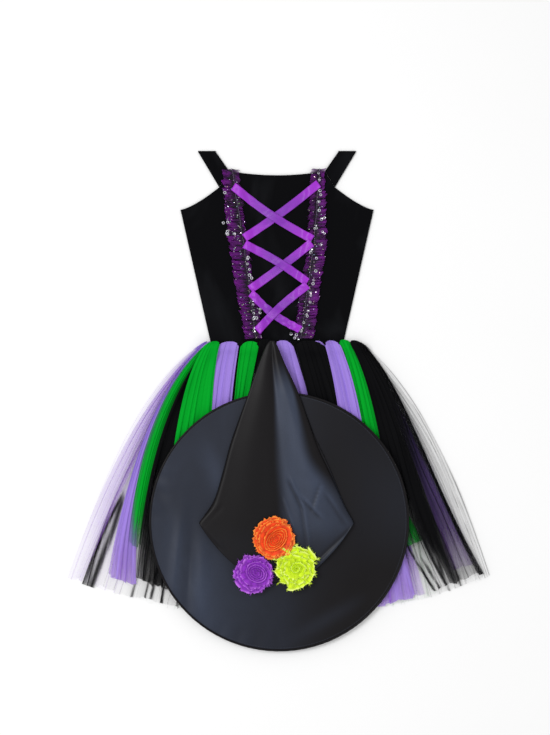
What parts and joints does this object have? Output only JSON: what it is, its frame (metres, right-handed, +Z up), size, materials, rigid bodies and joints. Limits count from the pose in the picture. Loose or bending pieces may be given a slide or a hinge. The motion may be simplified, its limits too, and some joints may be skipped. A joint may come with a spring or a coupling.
{
  "type": "witch costume",
  "caption": "Child's dress with a laced velvet bodice and a skirt of tulle strips, laid flat with a pointed brimmed hat on its skirt.",
  "frame": {"origin": "on the surface it lies on, below the middle of the box round the whole costume", "axes": "+Z up from the surface it lies on, +Y from the hem to the straps, +X to the right as the front is seen"},
  "size_m": [0.599, 0.7094, 0.0345],
  "materials": {
    "velvet": "black stretch velvet with a soft nap",
    "organza": "purple organza frill with small sequins",
    "ribbon_satin": "purple satin ribbon",
    "tulle_lilac": "lilac tulle net",
    "tulle_green": "green tulle net",
    "tulle_black": "black tulle net",
    "hat_satin": "thin black satin, creased",
    "chiffon_orange": "frayed orange chiffon",
    "chiffon_purple": "frayed purple chiffon",
    "chiffon_lime": "frayed lime chiffon"
  },
  "bodies": {
    "root": {"back_1_lilac": "tulle_lilac", "back_2_black": "tulle_black", "back_3_green": "tulle_green", "back_4_black": "tulle_black", "back_5_lilac": "tulle_lilac", "back_6_black": "tulle_black", "back_7_green": "tulle_green", "back_8_black": "tulle_black", "bodice_back": "velvet", "bodice_front": "velvet", "strap_left": "velvet", "strap_right": "velvet", "ruffle_left": "organza", "ruffle_right": "organza", "ribbon_1_under": "ribbon_satin", "ribbon_1_over": "ribbon_satin", "ribbon_2_under": "ribbon_satin", "ribbon_2_over": "ribbon_satin", "ribbon_3_under": "ribbon_satin", "ribbon_3_over": "ribbon_satin", "skirt_base_1": "tulle_black", "skirt_base_2": "tulle_black", "skirt_base_3": "tulle_black", "skirt_base_4": "tulle_black", "skirt_base_5": "tulle_black", "skirt_base_6": "tulle_black", "skirt_base_7": "tulle_black", "skirt_lilac_1": "tulle_lilac", "skirt_lilac_2": "tulle_lilac", "skirt_green_1": "tulle_green", "skirt_black_1": "tulle_black", "skirt_lilac_3": "tulle_lilac", "skirt_green_2": "tulle_green", "skirt_black_2": "tulle_black", "skirt_green_3": "tulle_green", "skirt_lilac_4": "tulle_lilac", "skirt_lilac_5": "tulle_lilac", "skirt_green_4": "tulle_green", "skirt_black_3": "tulle_black", "skirt_lilac_6": "tulle_lilac", "skirt_lilac_7": "tulle_lilac", "skirt_black_4": "tulle_black", "skirt_black_5": "tulle_black", "hat_brim": "hat_satin", "hat_edge": "hat_satin", "hat_crown": "hat_satin", "rosette_orange": "chiffon_orange", "rosette_purple": "chiffon_purple", "rosette_lime": "chiffon_lime"}
  },
  "joints": []
}
